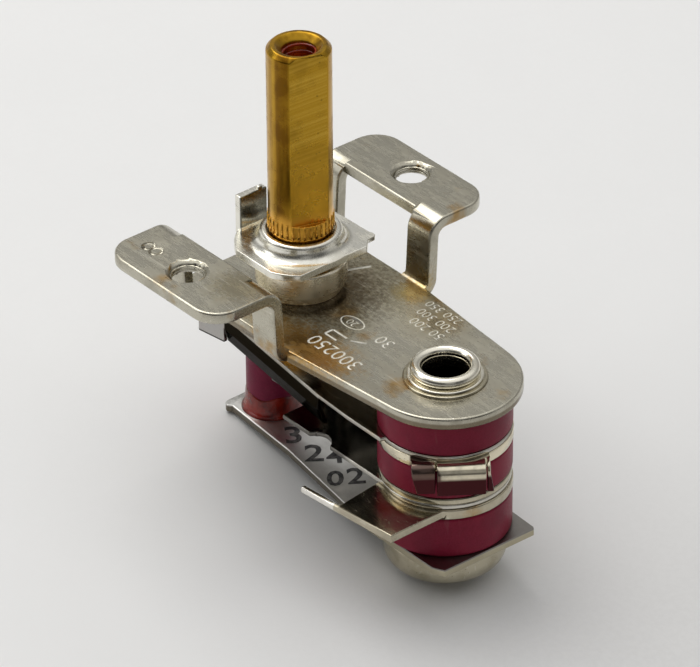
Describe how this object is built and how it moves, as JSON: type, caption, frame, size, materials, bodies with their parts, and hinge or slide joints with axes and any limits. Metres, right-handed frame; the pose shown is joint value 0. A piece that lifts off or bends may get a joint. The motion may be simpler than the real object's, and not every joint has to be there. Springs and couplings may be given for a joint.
{
  "type": "adjustable bimetal thermostat",
  "caption": "Adjustable bimetal thermostat: brass spindle with a D flat, pressed steel bracket with two tapped ears, and contact springs in a riveted stack of ceramic rings.",
  "frame": {"origin": "on the spindle's axis, in the plane of the two ears' top faces, midway between the two tapped holes", "axes": "+Z along the spindle towards the knob, +X from the spindle to the rivet, +Y across the two ears"},
  "size_m": [0.0401, 0.0348, 0.0478],
  "materials": {
    "bracket_steel": "nickel-plated steel sheet, warm grey, softly polished, with a faint golden tint near the bends",
    "bushing_steel": "nickel-plated turned steel",
    "spindle_brass": "turned and milled brass, satin, with fine cutting marks on the flat",
    "stop_steel": "nickel-plated steel, polished",
    "lacquered_screw": "steel under dark red sealing lacquer",
    "push_steel": "plain steel",
    "rod_ceramic": "fired ceramic, dark pink, smooth",
    "rivet_steel": "nickel-plated steel, polished, rolled over at the top",
    "ring_ceramic": "fired steatite, dark pink, softly glossy",
    "terminal_steel": "nickel-plated steel, golden tint",
    "spring_steel": "rolled stainless spring strip, bright",
    "contact_silver": "silver alloy, polished",
    "bimetal": "rolled bimetal strip, bright, with marker strokes",
    "pin_ceramic": "fired ceramic, dark pink, with orange-red lacquer at the foot"
  },
  "bodies": {
    "frame": {"bracket": "bracket_steel", "bushing": "bushing_steel", "hollow_rivet": "rivet_steel", "rivet_washer": "rivet_steel", "top_ring": "ring_ceramic", "middle_ring": "ring_ceramic", "bottom_ring": "ring_ceramic", "spacer_washer": "terminal_steel", "upper_terminal": "terminal_steel", "lower_terminal": "terminal_steel"},
    "pusher": {"ceramic_rod": "rod_ceramic", "push_pin": "push_steel"},
    "spindle": {"spindle": "spindle_brass", "stop_plate": "stop_steel", "calibration_screw": "lacquered_screw"},
    "lower_spring": {"lower_spring": "spring_steel", "lower_contact": "contact_silver"},
    "bimetal": {"bimetal_strip": "bimetal", "ceramic_pin": "pin_ceramic", "pin_rivet": "rivet_steel"},
    "contact_arm": {"contact_arm": "spring_steel", "upper_contact": "contact_silver"}
  },
  "joints": [
    {"name": "thread_travel", "type": "slide", "parent": "frame", "child": "pusher", "axis": [0, 0, 1], "range_m": [-0.00045, 0.00045]},
    {"name": "spindle_turn", "type": "hinge", "parent": "pusher", "child": "spindle", "pos_m": [0, 0, 0], "axis": [0, 0, 1], "range_deg": [-150, 150]},
    {"name": "lower_spring_bend", "type": "hinge", "parent": "frame", "child": "lower_spring", "pos_m": [0.015, 0, -0.01795], "axis": [0, 1, 0], "range_deg": [-1.8, 1.8], "deforming": ["lower_spring"]},
    {"name": "bimetal_bend", "type": "hinge", "parent": "frame", "child": "bimetal", "pos_m": [0.015, 0, -0.0241], "axis": [0, 1, 0], "range_deg": [0, 2.6], "stiffness_Nm_per_rad": 12, "deforming": ["bimetal_strip"]},
    {"name": "contact_arm_lift", "type": "hinge", "parent": "frame", "child": "contact_arm", "pos_m": [0.015, 0, -0.01232], "axis": [0, 1, 0], "range_deg": [0, 2.6], "deforming": ["contact_arm"]}
  ],
  "couplings": [
    {"joint": "thread_travel", "follows": "spindle_turn", "m_per_rad": 0.00015915},
    {"joint": "lower_spring_bend", "follows": "spindle_turn", "ratio": 0.01061},
    {"joint": "contact_arm_lift", "follows": "bimetal_bend", "ratio": 1}
  ]
}
